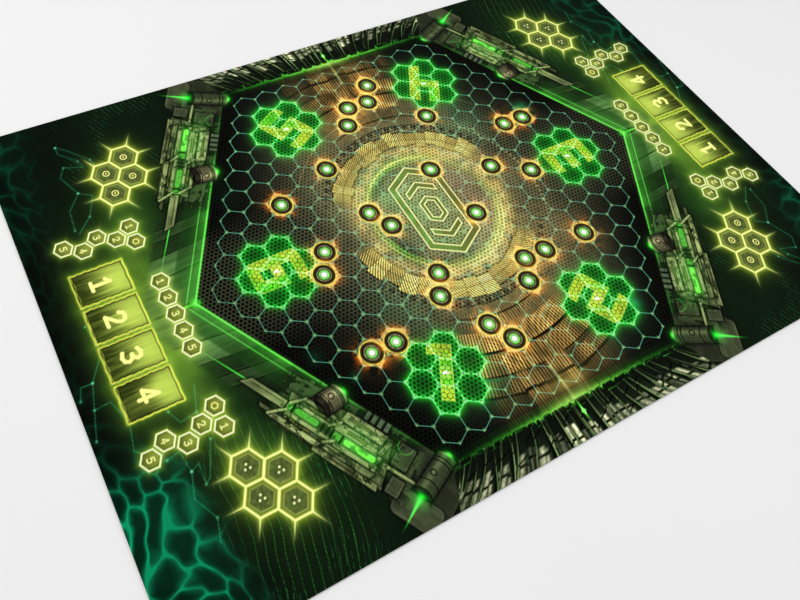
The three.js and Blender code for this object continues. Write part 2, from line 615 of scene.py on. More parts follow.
def side_plates(q, seed):
    """The field's bright edge, the green band outside it and the see-through plates."""
    u, v = q.u, q.v
    span = window(u, -0.2, 0.05, 10.1, 10.4)
    near = step(7.5, 2.5, u)
    grain = q.grain(0.6, 71)
    streak = noise(q.x * 0.6, q.y * 5, 0.7, 72 + seed)
    wing = fill(box(u - 1.6, v - 0.9, 2.8 - 0.3 * v, 0.95), 0.2) * step(4.6, 3.4, u)
    q.lay(wing * 0.6, (16, 34, 12))
    level = q.y + 0.09 * (q.x - 10)
    for low, high, light in WINGS:
        leaf = fill(np.abs(level - (low + high) / 2) - (high - low) / 2, 0.04) * wing
        q.shine(leaf * (0.5 + 0.7 * streak) * light * (0.55 + 0.45 * step(2.0, 0.8, v)), (80, 112, 62))
        q.shine(line(level - high, 0.03) * leaf * 0.3, (120, 170, 90))
    band = fill(np.abs(v - 0.46) - 0.46, 0.1) * span
    q.lay(band * 0.6, (14, 44, 12))
    q.shade(fill(box(u - 3.5, v - 1.1, 1.6, 1.1), 1.0) * 0.3)
    light = (0.2 + 0.5 * grain) * (0.12 + 0.88 * near) * (0.4 + 0.6 * step(0.8, 0.1, v))
    q.shine(band * light, (60, 130, 36))
    # bright line on the field's edge, and a finer one further out that runs past the corner
    edge = span * (1 - 0.75 * step(6.0, 6.9, u))
    q.shine(lit_side(0.02 - v, 5, 0.16) * edge * 0.65, (20, 150, 18))
    q.shine(line(v - 0.03, 0.05, 0.06) * edge, (70, 220, 50))
    fine = step(-0.6, 0.2, u) * (0.25 + 0.6 * near)
    q.shine(line(v - 0.34, 0.03) * fine, (50, 160, 40))
    q.shine(glow(v - 0.34, 0.05) * fine * 0.4, (30, 120, 26))
    q.shine(line(v - 1.36 - 0.02 * (3 - u), 0.04) * window(u, 0.6, 2.9, 3.0, 3.3), (46, 190, 40))
    q.shine(blob(u, v, 0.2, 0.2), (50, 220, 40))
    q.shine(blob(q.y, q.x - 10.7, 0.05, 0.5) * 0.9, (50, 220, 40))


def slab(q, d, colour, grain, depth=1.0):
    """A worn metal plate with a soft shadow and a thin dark outline."""
    q.shade(halo(d, 0.07) * 0.55 * (d > 0) * depth)
    face = (fill(d, 0.04) * 0.92)[..., None]
    q.rgb *= 1 - face
    q.rgb += face * (0.5 + grain)[..., None] * tint(*colour)
    q.shine(line(d + 0.05, 0.04, 0.05) * 0.2 * depth * grain, (190, 200, 140))
    q.shade(line(d, 0.04, 0.05) * 0.6 * depth)


# Plates along the side: from and to along it, from and to out from the field, slant of the ends, tone.
PLATES = (
    (4.7, 8.5, 0.85, 2.05, 0.25, 0.85), (5.9, 8.3, 0.42, 1.1, 0.2, 0.8), (3.9, 4.9, 1.75, 1.9, 0.8, 0.6),
    (6.1, 8.5, 1.95, 2.17, 0.3, 1.0), (6.4, 8.2, 1.7, 1.93, -0.5, 0.95), (4.4, 6.25, 1.8, 2.0, -0.6, 1.25),
    (5.0, 6.45, 1.49, 1.64, 0.6, 1.1), (6.6, 7.95, 1.5, 1.67, 0.5, 1.05),
    (5.05, 6.3, 0.76, 0.9, -0.6, 1.25), (4.95, 6.2, 1.07, 1.2, -0.4, 1.05),
    (6.35, 7.95, 0.83, 1.16, 0.35, 1.15), (6.45, 8.0, 0.37, 0.78, -0.2, 1.25),
    (8.02, 8.2, 0.5, 1.1, -0.2, 0.8), (8.05, 8.2, 1.12, 1.66, 0.0, 1.1), (8.3, 8.5, 1.2, 1.6, 0.1, 0.9),
)
# Pale panels: their middle and half their size. Struts: their two ends.
WINDOWS = ((5.3, 1.72, 0.5, 0.05), (5.75, 0.99, 0.42, 0.06), (7.3, 2.06, 0.5, 0.03),
           (7.15, 0.57, 0.5, 0.04), (7.2, 1.0, 0.35, 0.05))
STRUTS = ((4.3, 1.92, 4.75, 1.45), (4.75, 1.2, 5.1, 0.8), (6.3, 1.75, 6.6, 1.5), (6.2, 1.15, 6.5, 0.85),
          (8.5, 1.27, 9.55, 1.24))


def machinery(q):
    """A run of overlapping worn plates along the sloping side, of a plain design of its own."""
    u, v = q.u, q.v
    grain = 0.45 * q.grain(0.7, 81) + 0.35 * noise(u * 2, v * 9, 1.0, 82) + 0.2 * q.grain(0.15, 84)
    olive = np.array((112, 124, 76), np.float32)
    dim = np.array((64, 70, 48), np.float32)
    # head: a dim rounded block that reaches round the end of the side
    head = box(u - 9.9, v - 1.1, 1.0, 1.1, 0.3)
    slab(q, head, dim * 0.62, grain, 0.3)
    slab(q, box(u - 9.6 - 0.15 * v, v - 1.95, 0.85, 0.46, 0.2), dim, grain, 0.5)
    base = fill(box(u - 6.6 - 0.2 * v, v - 1.05, 2.6, 1.0, 0.3), 0.3)
    ribs = noise(u * 1.5, v * 0.4, 0.25, 88) + noise(u * 0.4, v * 1.5, 0.25, 89)
    q.lay(base * 0.6, (22, 28, 16))
    q.shine(base * step(0.85, 1.15, ribs) * 0.7, (58, 74, 42))
    q.shade(base * step(0.04, 0.0, np.abs(ribs - 0.95)) * 0.6)
    for k, (start, stop, low, high, slant, tone) in enumerate(PLATES):
        du, dv = u - (start + stop) / 2, v - (low + high) / 2
        d = box(du - slant * dv, dv, (stop - start) / 2, (high - low) / 2, 0.03)
        slab(q, d, olive * tone, np.roll(grain, 17 * k, 0), 0.8)
    slab(q, box(u - 3.9 + 0.9 * (v - 1.37), v - 1.37, 0.85, 0.17, 0.03), olive * 1.05, grain)
    slab(q, box(u - 8.75, v - 0.7, 0.3, 0.42, 0.05), dim * 0.8, grain)
    slab(q, box(u - 8.95, v - 1.7, 0.25, 0.3, 0.05), dim * 0.9, grain)
    q.shade(line(v - 1.33, 0.03) * fill(np.abs(u - 3.9) - 0.6, 0.1) * 0.5)
    for start_u, start_v, end_u, end_v in STRUTS:
        slab(q, thread(u, v, ((start_u, start_v), (end_u, end_v))) - 0.055, olive * 1.2, grain, 0.6)
    for mu, mv, half_u, half_v in WINDOWS:
        d = box(u - mu, v - mv, half_u, half_v, 0.04)
        q.lay(fill(d, 0.05) * 0.8, (92, 88, 46))
        q.shade(line(d, 0.04, 0.05) * 0.6)
    body = fill(box(u - 6.6, v - 1.25, 2.1, 0.9, 0.1), 0.1)
    crack = np.abs(noise(u * 0.7, v * 1.8, 0.55, 86) - 0.5)
    q.shade(body * step(0.022, 0.004, crack) * 0.75)
    q.shade(body * step(0.62, 0.75, noise(u * 0.8, v * 2.5, 0.3, 87)) * 0.5)
    q.shade(body * step(0.45, 0.8, q.grain(0.22, 47)) * 0.45)
    # light from inside: a slot with a long bright lozenge in it
    slot = box(u - 6.5, v - 1.34, 1.75, 0.1, 0.05)
    q.shade(fill(slot, 0.08) * 0.75)
    cut = step(0.3, 0.5, noise(u * 1.5, v * 2, 0.35, 83))
    for mu, half_u, gain in ((5.45, 0.42, 0.6), (7.45, 0.56, 1.0), (4.78, 0.1, 0.6), (6.6, 0.12, 0.5)):
        d = box(u - mu, v - 1.33, half_u, 0.08, 0.08)
        q.shine(halo(d, 0.035) * gain * (0.4 + 0.6 * cut), (96, 236, 60))
        q.shine(halo(d, 0.22) * gain * 0.6, (20, 130, 16))
    for mu in (4.66, 4.92, 6.05, 6.25, 6.42, 6.78):
        q.shade(line(u - mu, 0.06, 0.05) * fill(np.abs(v - 1.34) - 0.17, 0.06) * 0.75)
    # a green tint lies over the side next to the field
    near = window(u, 4.4, 6.0, 8.0, 9.4) * window(v, 0.3, 0.6, 0.9, 1.9)
    q.shine(near * (0.1 + 0.55 * q.grain(0.8, 85)), (44, 124, 32))
    # posts on the edge, and a pipe that bends away from them
    for k in range(4):
        d = box(u - 7.1 - 0.25 * k, v - 0.14, 0.09, 0.17, 0.02)
        slab(q, d, (74, 92, 66), grain, 0.8)
    q.shine(line(np.hypot(u - 8.65, v - 0.35) - 0.26, 0.03, 0.05) * step(0.25, 0.4, v) * 0.7, (40, 150, 34))
    cylinder(q, (5.66, 0.72), (6.0, -0.14), 0.42, (92, 86, 62), grain)
    cylinder(q, (9.8, 1.4), (9.96, -0.22), 0.36, (52, 60, 38), grain)
    wide = 0.025 + 0.13 * np.exp(-np.maximum(v - 1.45, 0) / 0.3)
    q.shine(bell(u - 9.8, wide) * window(v, 1.3, 1.5, 1.9, 2.9), (24, 236, 40))
    q.shine(blob(u - 9.8, v - 1.62, 0.3, 0.3) * 0.7, (10, 150, 16))


def cylinder(q, top, foot, half, colour, grain):
    """A short round bar seen from its side, with a dark cap, two bands and green light at its foot."""
    du, dv = foot[0] - top[0], foot[1] - top[1]
    length = math.hypot(du, dv)
    du, dv = du / length, dv / length
    mu, mv = q.u - top[0], q.v - top[1]
    along, across = mu * du + mv * dv, mu * dv - mv * du
    bow = along + 0.3 * half * (across / half) ** 2
    d = np.maximum(np.abs(across) - half, np.abs(bow - length / 2) - length / 2)
    slab(q, d, colour, 0.25 + 0.5 * grain + 0.7 * bell(across - 0.3 * half, 0.3 * half))
    q.shade(fill(d) * step(0.5, 1.0, np.abs(across) / half) * 0.5)
    q.shade(fill(np.hypot(across, (along - 0.03) * 2) - half, 0.06) * 0.7)
    for level in (0.32, 0.78, 0.86):
        q.shade(line(bow - level * length, 0.05) * fill(d) * 0.75)
    q.shade(line(np.hypot(across - 0.1, along - 0.5 * length) - 0.1, 0.05) * 0.7)
    end = np.hypot(across, (bow - length) * 2)
    q.shine(bell(end, 0.4 * half), (60, 240, 50))
    q.shine(bell(end, 1.1 * half) * 0.4, (10, 150, 14))


BLADE_MIDDLE, BLADE_FOOT = 9.4, 8.82       # from the middle of the field, in cells


def blades(c, s):
    """Close upright blades along the long edge, leaning outwards to both sides."""
    p = c.patch(centre=(0.0, BLADE_MIDDLE), reach=(7.0, 0.9), mirror=(1, s))
    x, h = p.u, p.v + BLADE_MIDDLE - BLADE_FOOT
    p.lay(fill(np.abs(x) - (5.0 + 0.45 * np.clip(h, 0, 1.5)), 0.3) * step(-0.02, 0.06, h), (6, 12, 5))
    lean = 0.13 * x * np.clip(np.abs(x) / 2.5, 0.15, 1)
    for layer, (pitch, light) in enumerate(((0.33, 0.6), (0.46, 1.0), (0.6, 1.0))):
        s0 = x - lean * h * (1 + 0.25 * layer) + 0.17 * layer
        k = np.floor(s0 / pitch)
        f = s0 / pitch - k - 0.5
        r1, r2, r3 = (hashed(k + 200, 90 + n + 10 * layer + (5 if s < 0 else 0)) for n in range(3))
        foot = -0.06 + 0.32 * r1
        mask = step(foot, foot + 0.04, h + 0.4 * (r3 - 0.5) * f) * step(1.5, 1.3, h)
        mask = mask * fill(np.abs(f) * pitch - pitch * (0.2 + 0.16 * r2), 0.05)
        mask = mask * fill(np.abs(x) - (5.1 + 0.45 * h), 0.1)
        p.lay(mask * 0.9, (8, 14, 7))
        p.shine(mask * step(0.1, 1.3, h) * r3 * 0.5, (52, 60, 36))
        left = fill(np.abs(f + 0.2) * pitch - 0.018, 0.03)
        p.shine(mask * left * (0.3 + 0.8 * r3) * (0.5 + 0.5 * step(0.1, 0.9, h)), (100, 128, 74))
        low = 0.5 + 0.35 * r1
        notch = step(0.02, 0.07, np.abs(h - 0.95 - 0.25 * r3))
        rod = mask * step(low + 0.1, low + 0.2, h) * bell(f - 0.08 + 0.1 * r2, 0.16) * light * notch
        p.shine(rod * (0.35 + 0.9 * r3) * (0.5 + 0.6 * noise(x, h, 0.1, 92)), (214, 216, 168))
        p.shade(mask * fill(np.abs(h - 0.35 - 0.9 * r2 + 0.3 * f) - 0.03, 0.05) * 0.85)
        p.shine(mask * fill(np.abs(h - foot - 0.04) - 0.02, 0.04) * 0.5 * r2, (40, 150, 30))
    # green light between their feet, on the field's side, more golden in the middle
    peak = 0.02 + 0.22 * step(0.4, 0.9, noise(x * 9, 0 * h, 1.0, 96 + s))
    ragged = h - 0.5 * peak
    middle = step(4.5, 0.5, np.abs(x))
    lit = step(5.6, 4.0, np.abs(x)) * (0.45 + 0.55 * middle)
    p.shine(lit_side(ragged, 6, 0.2) * lit * 0.8, (22, 120, 14))
    tips = fill(h - peak, 0.06) * step(-0.16, 0.02, h) * (0.35 + 0.65 * noise(x, 0 * h, 0.6, 93))
    p.shine(tips * lit * (0.8 if s > 0 else 0.4), (50, 200, 40))
    p.shine(lit_side(ragged, 5, 0.1) * middle * 0.6, (120, 150, 50))
    p.shine(blob(x, h + 0.06, 0.9, 0.16) * 0.7, (130, 150, 60))
    p.shine(blob(x - 0.05, h - 0.45, 0.04, 0.36), (90, 230, 60))
    p.shine(fill(np.abs(x - 0.05) + np.abs(h - 0.5) * 0.7 - 0.1, 0.05) * 0.8, (110, 250, 90))


# ---- cells, tokens, flowers ----


def flowers(c):
    """Six groups of seven glowing cells, each with a square digit that stands up towards the middle."""
    turns = [math.radians(60 * k) for k in range(6)]
    for k, digit in enumerate((3, 4, 5, 6, 1, 2)):
        centre = (FLOWER_REACH * math.cos(turns[k]), FLOWER_REACH * math.sin(turns[k]))
        p = c.patch(centre=centre, reach=2.6)
        cu, cv = lattice(p.u, p.v)
        cell = np.abs(hexagon(cu, cv, 0.5))
        group = np.minimum.reduce([hexagon(p.u - a, p.v - b, 0.5) for a, b in
                                   [(0, 0)] + [(math.cos(t), math.sin(t)) for t in turns]])
        inside = fill(group)
        p.lay(inside * 0.8, (4, 22, 6))
        p.shine(glow(group, 0.16) * 0.7, (10, 130, 20))
        haze = (0.15 + 0.7 * p.grain(0.7, 101 + k)) * (0.6 + 0.7 * halo(cell, 0.12))
        p.shine(inside * haze, (14, 104, 20))
        p.mark("comb", inside)
        p.mark("flower", fill(group - 0.03))
        p.thin("comb", 0.4 * fill(group) * step(0.1, 0.35, cell))
        p.thin("grid", 0.8 * fill(group - 0.05))
        block_digit(c.patch(centre=centre, reach=2.6, turn=turns[k] + math.pi / 2), digit, k)
        edges = np.where(inside > 0.01, cell, 9)
        p.shine(bell(edges, 0.026) * 0.42, (60, 210, 66))
        p.shine(glow(edges, 0.1) * 0.5, (10, 130, 20))
        p.shine(glow(group, 0.1) * 0.75, (24, 190, 28))
        p.shine(line(group, 0.05) * 0.6, (70, 230, 76))
        side, tip = np.hypot(np.abs(cu) - 0.5, np.abs(cv) - ROW / 3), np.hypot(cu, np.abs(cv) - 2 * ROW / 3)
        corner = np.minimum(side, tip)
        p.shine(bell(corner, 0.085) * fill(np.abs(group) - 0.1, 0.1) * 0.9, (110, 255, 110))
        blank = fill(np.hypot(p.u, p.v) - 0.2, 0.1)
        p.thin("comb", blank)
        p.lay(fill(box(p.u + 0.06, p.v, 0.1, 0.04, 0.02), 0.04) * 0.95, (240, 246, 232))
        p.lay(fill(box(p.u - 0.02, p.v + 0.07, 0.08, 0.03, 0.02), 0.04) * 0.9, (230, 214, 180))
        p.shine(blob(p.u, p.v, 0.22, 0.22) * 0.5, (170, 230, 110))


BLOCK = (0.44, 0.42)       # one square of a block digit, in cells
BEADS = 5.2                # beads of a block digit to a cell


def block_digit(q, digit, seed):
    """A square digit of lit beads, green in places and yellow in others."""
    wide, tall = BLOCK
    boxes = [box(q.u - (n % 3 - 1) * wide, q.v - (2 - n // 3) * tall, wide / 2, tall / 2)
             for n, on in enumerate(BLOCKS[digit]) if on == "1"]
    d = np.maximum(np.minimum.reduce(boxes), box(q.u, q.v, 1.5 * wide, 2.5 * tall, 0.26))
    m = fill(d, 0.05)
    hu, hv = lattice(q.u * BEADS + 0.3 * q.grain(0.4, 110), q.v * BEADS + 0.3 * q.grain(0.4, 109))
    beads = step(0.5, 0.36, 0.5 + hexagon(hu, hv, 0.5))
    lum = (0.3 + 0.75 * beads) * (0.6 + 0.8 * q.grain(0.3, 111 + seed))
    green, lime = tint((92, 236, 36), (206, 236, 58))
    ink = green + (lime - green) * step(0.25, 0.6, q.grain(0.7, 181 + seed))[..., None]
    q.rgb *= 1 - 0.86 * m[..., None]
    q.rgb += 0.86 * m[..., None] * np.clip(lum, 0, 1.05)[..., None] * ink
    q.shine(halo(d, 0.16) * (d > 0) * 0.55, (40, 190, 30))
    q.shine(line(d, 0.05) * 0.4, (190, 240, 80))
    q.thin("comb", 0.6 * m)


# Rings of a target disc, from the middle: radius, width, brightness and how much it varies, colour.
RINGS = ((0, 0.15, 1, 0, (226, 255, 214)), (0.17, 0.045, 0.5, 0.6, (60, 236, 30)),
         (0.27, 0.024, 0.15, 0.55, (214, 226, 160)), (0.37, 0.03, 0.3, 0, (110, 90, 44)),
         (0.45, 0.034, 0.5, 0.7, (255, 216, 84)))


def tokens(c):
    """Dark target discs with a light in the middle and a worn orange glow round them."""
    for i, (a, b) in enumerate(TOKENS):
        p = c.patch(centre=(a + b / 2, -b * ROW), reach=1.5)
        r = np.hypot(p.u, p.v)
        rough = p.grain(0.14, 121 + i)
        flare = step(0.3, 0.7, p.grain(0.3, 151 + i))
        hexd = hexagon(p.u, p.v, 0.5)
        p.shine(halo(hexd, 0.16) * (0.05 + 1.1 * flare), (206, 96, 16))
        p.shine(bell(hexd, 0.04) * (0.12 + 0.5 * flare), (214, 160, 66))
        p.lay(fill(r - 0.46, 0.06) * 0.95, (22, 19, 8))
        for radius, width, least, more, colour in RINGS:
            p.shine(bell(r - radius, width) * (least + more * rough), colour)
        p.shine(bell(r - 0.48, 0.06) * 0.3 * flare, (230, 140, 20))
        p.lay(fill(r - 0.1, 0.09), (244, 254, 236))
        p.mark("token", fill(r - 0.48, 0.08))


# ---- stations ----


def seat(c, turn, place, reach, extra=-math.pi / 2):
    """A patch at a place on the station, its v pointing at the field unless extra says otherwise."""
    s = 1 if turn == 0 else -1
    centre = (STATION[0] + s * place[0], STATION[1] + s * place[1])
    return c.patch(centre=centre, reach=reach, turn=turn + extra)


# Where the first piece of each row lies from the station's middle, and the step to the next.
TILES, TILE_STEP = (-13.08, 2.19), -1.52
TRACK, TRACK_STEP = (-11.18, 1.42), -0.7125
ZIGZAG, ZIGZAG_STEP = -13.84, 0.625
ZIGZAG_ROWS = ((4.10, 3.74), (-4.42, -4.04))        # where odd and even numbers lie
BLANKS = ((-11.35, 3.37), (-11.34, -3.66))
TILE_REACH, PIP_REACH, CLUSTER_REACH = 2.6, 1.2, 3.2
RINGED = ((-11.27, 6.79), (-11.27, 5.76), (-10.37, 7.32), (-10.37, 6.29))
DOTTED = ((-11.25, -5.93), (-11.25, -6.97), (-10.34, -6.46), (-10.34, -7.5))


def stations(c):
    """The two players' stations: four tiles, three numbered tracks and two clusters each."""
    for turn in (0.0, math.pi):
        for k in range(4):
            tile(seat(c, turn, (TILES[0], TILES[1] + TILE_STEP * k), TILE_REACH), k + 1)
        for k in range(5):
            pip(seat(c, turn, (TRACK[0], TRACK[1] + TRACK_STEP * k), PIP_REACH), k + 1)
        for k, n in enumerate((5, 4, 3, 2, 1)):
            for odd, even in ZIGZAG_ROWS:
                place = (ZIGZAG + ZIGZAG_STEP * k, odd if n % 2 else even)
                pip(seat(c, turn, place, PIP_REACH), n)
        for place in BLANKS:
            pip(seat(c, turn, place, PIP_REACH), 0)
        cluster(c, turn, RINGED, True)
        cluster(c, turn, DOTTED, False)


def tile(p, digit):
    """A large lit tile in a cord border, its digit standing up towards the field."""
    u, v = p.u, p.v
    wobble = 0.008 * (np.sin(u * 11 + digit) + np.sin(v * 9 + 2 * digit) + np.sin(v * 23 + digit))
    d = box(u, v, 0.72, 1.0, 0.06) + wobble
    p.shine(halo(d, 0.24) * 0.6, (84, 116, 24))
    p.shine(halo(d, 0.03) * 0.5, (150, 176, 40))
    grain = noise(u, v * 0.12, 0.12, 131 + digit) - 0.5
    bright = 0.8 * step(-1.1, 1.0, v) * (0.55 + 0.45 * step(0.75, 0.4, np.abs(u)))
    bright = bright + 0.7 * grain * step(1.1, -0.2, v)
    bright = np.clip(bright + 0.35 * blob(u, v - 0.4, 0.6, 0.5), 0, 1)[..., None]
    dark, light = tint((44, 54, 16), (186, 208, 84))
    m = fill(d)[..., None]
    p.rgb[...] = p.rgb * (1 - m) + (dark + (light - dark) * bright) * m
    # twisted cord border, doubled on the outer side
    twist = 0.5 + 0.5 * step(0.05, 0.4, from_line(u + v, 0.07))
    p.shade(line(d + 0.1, 0.04) * 0.4)
    p.lay(line(d + 0.035, 0.06) * twist, (206, 222, 76))
    p.shine(line(v + 0.9 + wobble, 0.04) * fill(d) * twist * 0.7, (190, 206, 70))
    dn = numeral(u, v + 0.03, digit, 0.7)
    p.shine(halo(dn - 0.06, 0.06) * 0.3, (190, 190, 60))
    p.lay(fill(dn - 0.068), (238, 242, 140))


def pip(p, digit):
    """A small hexagon of a track with its number."""
    u, v = p.u, p.v
    d = hexagon(u, v, 0.365 * ROW)
    p.shine(halo(d, 0.11) * 0.75, (140, 168, 38))
    p.lay(fill(d), (84, 98, 30))
    p.shine(fill(d) * blob(u, v - 0.12, 0.3, 0.3) * 0.5, (140, 156, 60))
    p.lay(line(d + 0.015, 0.055), (226, 234, 164))
    if digit:
        p.lay(fill(numeral(u, v, digit, 0.25) - 0.022) * 0.95, (226, 228, 140))
    else:
        p.lay(line(hexagon(u, v, 0.1), 0.04), (236, 222, 120))


CLUSTER_CELL = 0.5175      # middle of a cluster's hexagon to its sides
SPOKE = 0.8


def cluster(c, turn, cells, ringed):
    """Four larger hexagons with spokes at their outer corners and plain marks in the middle."""
    mu, mv = (sum(k[i] for k in cells) / 4 for i in (0, 1))
    p = seat(c, turn, (mu, mv), CLUSTER_REACH, extra=0.0)
    spots = [(a - mu, b - mv) for a, b in cells]
    corner = CLUSTER_CELL / ROW
    ds = [hexagon(p.v - b, p.u - a, CLUSTER_CELL) for a, b in spots]
    group = np.minimum.reduce(ds)
    edges = np.minimum.reduce([np.abs(d) for d in ds])
    p.shine(halo(group, 0.28) * 0.75, (96, 116, 24))
    for a, b in spots:
        for n in range(6):
            t = math.radians(60 * n)
            cu, cv = a + corner * math.cos(t), b + corner * math.sin(t)
            if min(math.hypot(cu - m, cv - n_) for m, n_ in spots if (m, n_) != (a, b)) < corner + 0.05:
                continue
            d = thread(p.u, p.v, [(cu, cv), (cu + SPOKE * math.cos(t), cv + SPOKE * math.sin(t))])
            fade = step(SPOKE, 0.0, np.hypot(p.u - cu, p.v - cv))
            p.shine(np.maximum(bell(d, 0.03), 0.4 * bell(d, 0.1)) * fade, (210, 222, 110))
    p.lay(fill(group) * 0.95, (80, 98, 34))
    for a, b in spots:
        hu, hv = p.u - a, p.v - b
        inner = hexagon(hv, hu, CLUSTER_CELL * 0.72)
        p.lay(fill(inner) * 0.7, (104, 120, 62))
        p.shade(fill(inner) * 0.4 * p.grain(0.12, 142))
        p.shine(line(inner, 0.03) * 0.35, (190, 196, 110))
        if ringed:
            p.lay(line(np.hypot(hu, hv) - 0.12, 0.045), (238, 226, 120))
            p.lay(fill(np.hypot(hu, hv) - 0.035), (238, 226, 120))
        else:
            for n in range(3):
                t = math.radians(90 + 120 * n)
                spot = np.hypot(hu - 0.1 * math.cos(t), hv - 0.1 * math.sin(t)) - 0.04
                p.lay(fill(spot), (214, 216, 150))
    p.shine(glow(edges, 0.09) * 0.8, (190, 204, 40))
    p.lay(line(edges, 0.065, 0.05), (240, 240, 150))


# ---- camera ----

CAMERA_PLACE = (-0.4132, -0.3049, 0.60215)     # from the middle of the printed surface, in metres
CAMERA_AZIMUTH, CAMERA_ELEVATION, CAMERA_ROLL = 35.89, 61.18, 9.82
CAMERA_LENS, CAMERA_SENSOR, CAMERA_SHIFT = 28.71, 36.0, 0.141


def aim_camera(top):
    az, el, roll = (math.radians(k) for k in (CAMERA_AZIMUTH, CAMERA_ELEVATION, CAMERA_ROLL))
    ahead = Vector((math.sin(az) * math.cos(el), math.cos(az) * math.cos(el), -math.sin(el)))
    right = Vector((math.cos(az), -math.sin(az), 0.0))
    up = right.cross(ahead)
    across = math.cos(roll) * right + math.sin(roll) * up
    upright = math.cos(roll) * up - math.sin(roll) * right
    data = bpy.data.cameras.new("camera")
    data.lens, data.sensor_width, data.shift_x = CAMERA_LENS, CAMERA_SENSOR, CAMERA_SHIFT
    data.clip_start, data.clip_end = 0.01, 50.0
    camera = bpy.data.objects.new("camera", data)
    bpy.context.collection.objects.link(camera)
    turn = Matrix((across, upright, -ahead)).transposed().to_4x4()
    camera.matrix_world = Matrix.Translation(Vector(CAMERA_PLACE) + Vector((0, 0, top))) @ turn
    bpy.context.scene.camera = camera


# ---- node helper ----


class Nodes:
    """Builds a material's node tree in short calls; every call returns an output socket."""

    def __init__(self, name):
        self.material = bpy.data.materials.new(name)
        self.material.use_nodes = True
        self.tree = self.material.node_tree
        self.tree.nodes.clear()
        self.shader = self.tree.nodes.new("ShaderNodeBsdfPrincipled")
        out = self.tree.nodes.new("ShaderNodeOutputMaterial")
        self.tree.links.new(self.shader.outputs[0], out.inputs[0])

    def add(self, kind, inputs=(), **settings):
        node = self.tree.nodes.new("ShaderNode" + kind)
        for key, value in settings.items():
            setattr(node, key, value)
        for key, value in dict(inputs).items():
            self.put(node.inputs[key], value)
        return node

    def put(self, socket, value):
        if isinstance(value, bpy.types.NodeSocket):
            self.tree.links.new(value, socket)
        else:
            socket.default_value = value

    def math(self, operation, *values):
        return self.add("Math", enumerate(values), operation=operation).outputs[0]

    def times(self, a, b):
        return self.math("MULTIPLY", a, b)

    def plus(self, a, b):
        return self.math("ADD", a, b)

    def times_plus(self, a, b, c):
        return self.math("MULTIPLY_ADD", a, b, c)

    def vector(self, operation, *values):
        node = self.add("VectorMath", enumerate(values), operation=operation)
        return node.outputs["Value" if operation in ("LENGTH", "DOT_PRODUCT", "DISTANCE") else "Vector"]

    def split(self, vector):
        return self.add("SeparateXYZ", {0: vector}).outputs

    def ramp(self, value, low, high, to_low=0.0, to_high=1.0):
        """to_low at low, to_high at high, smooth between."""
        inputs = {"Value": value, "From Min": low, "From Max": high, "To Min": to_low, "To Max": to_high}
        return self.add("MapRange", inputs, interpolation_type="SMOOTHSTEP").outputs[0]

    def mix(self, factor, a, b, blend="MIX", kind="RGBA"):
        node = self.add("Mix", data_type=kind, blend_type=blend)
        sockets = [s for s in node.inputs if s.enabled]
        for socket, value in zip(sockets, (factor, a, b)):
            self.put(socket, value)
        return [s for s in node.outputs if s.enabled][0]

    def noise(self, vector, scale, detail=2.0):
        return self.add("TexNoise", {"Vector": vector, "Scale": scale, "Detail": detail}).outputs["Fac"]

    def finish(self, colour, roughness, height, distance, strength):
        """Puts the colour, the roughness and a relief distance deep on the shader."""
        relief = self.add("Bump", {"Height": height, "Distance": distance, "Strength": strength})
        values = {"Base Color": colour, "Roughness": roughness, "Normal": relief.outputs[0]}
        for name, value in values.items():
            self.put(self.shader.inputs[name], value)
        return self.material


def display(r, g, b):
    """A display colour from 0 to 255 as a linear one."""
    values = [k / 255 for k in (r, g, b)]
    return tuple(((k + 0.055) / 1.055) ** 2.4 if k > 0.04045 else k / 12.92 for k in values) + (1.0,)


# ---- materials ----

ART_ORIGIN = (-0.002, 0.0006)       # middle of the printed field, in metres
MESH_CELLS = 6                      # fine cells to one cell of the grid
KNIT_ROW, KNIT_LOOP = 0.0006, 0.0005                  # pitch of the knit's rows and loops, in metres
WAFFLE = 0.0028                                       # pitch of the underside's grain, in metres
KNIT_DEPTH, WAFFLE_DEPTH, RIPPLE_DEPTH = 0.00006, 0.00025, 0.00003
YARN, PORES, DUST, RIPPLES = 4000.0, 2600.0, 700.0, 600.0      # features to a metre


def hexagons(n, place):
    """Offset from the nearest middle of unit hexagons, and the distance from their edges."""
    half, minus = (0.5, ROW, 1.0), (-0.5, -ROW, -1.0)
    a = n.vector("WRAP", place, half, minus)
    b = n.vector("WRAP", n.vector("SUBTRACT", place, (0.5, ROW, 0.0)), half, minus)
    nearer = n.math("LESS_THAN", n.vector("DOT_PRODUCT", b, b), n.vector("DOT_PRODUCT", a, a))
    offset = n.vector("ABSOLUTE", n.mix(nearer, a, b, kind="VECTOR"))
    across, along, _ = n.split(offset)
    sloping = n.times_plus(along, ROW, n.times(across, 0.5))
    return across, along, n.math("SUBTRACT", 0.5, n.math("MAXIMUM", across, sloping))


def cloth(n, place):
    """Fine knit: loops in rows, as a height from 0 to 1."""
    x, y, _ = n.split(place)
    rows = n.math("SINE", n.times(y, 2 * math.pi / KNIT_ROW))
    loops = n.math("SINE", n.times_plus(rows, 0.9, n.times(x, 2 * math.pi / KNIT_LOOP)))
    return n.times_plus(n.times(rows, loops), 0.5, 0.5)


